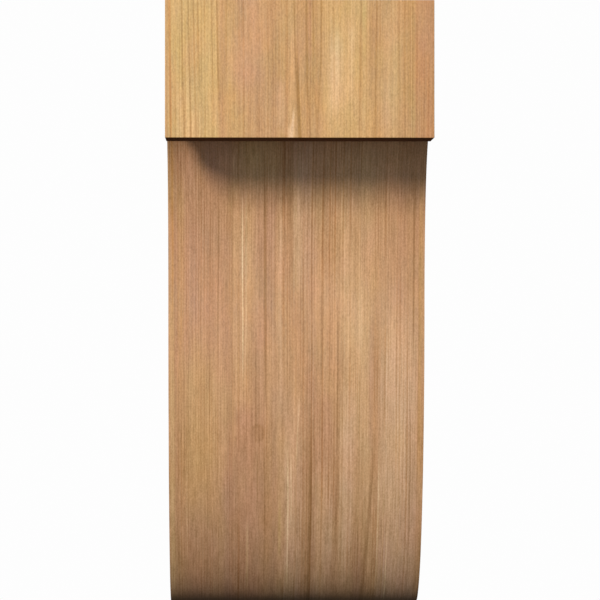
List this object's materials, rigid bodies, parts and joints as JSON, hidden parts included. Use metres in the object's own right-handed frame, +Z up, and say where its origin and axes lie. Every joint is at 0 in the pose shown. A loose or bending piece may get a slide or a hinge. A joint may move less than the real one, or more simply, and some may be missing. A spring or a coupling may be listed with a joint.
{
  "type": "corbel bracket",
  "caption": "Wooden corbel bracket with an S-curved body and a block across the front of its top, fixed to a wall by its flat back to carry a shelf, mantel or eave.",
  "frame": {"origin": "middle of the flat back face that stands against the wall", "axes": "+Z up, +Y into the wall, the front faces -Y, the width runs along X"},
  "size_m": [0.1524, 0.2032, 0.3555],
  "materials": {
    "body_cedar": "bare sanded softwood, pinkish tan, straight upright grain, matt",
    "block_cedar": "bare sanded softwood, golden tan, straight upright grain, matt"
  },
  "bodies": {
    "root": {"corbel_body": "body_cedar", "front_block": "block_cedar"}
  },
  "joints": []
}
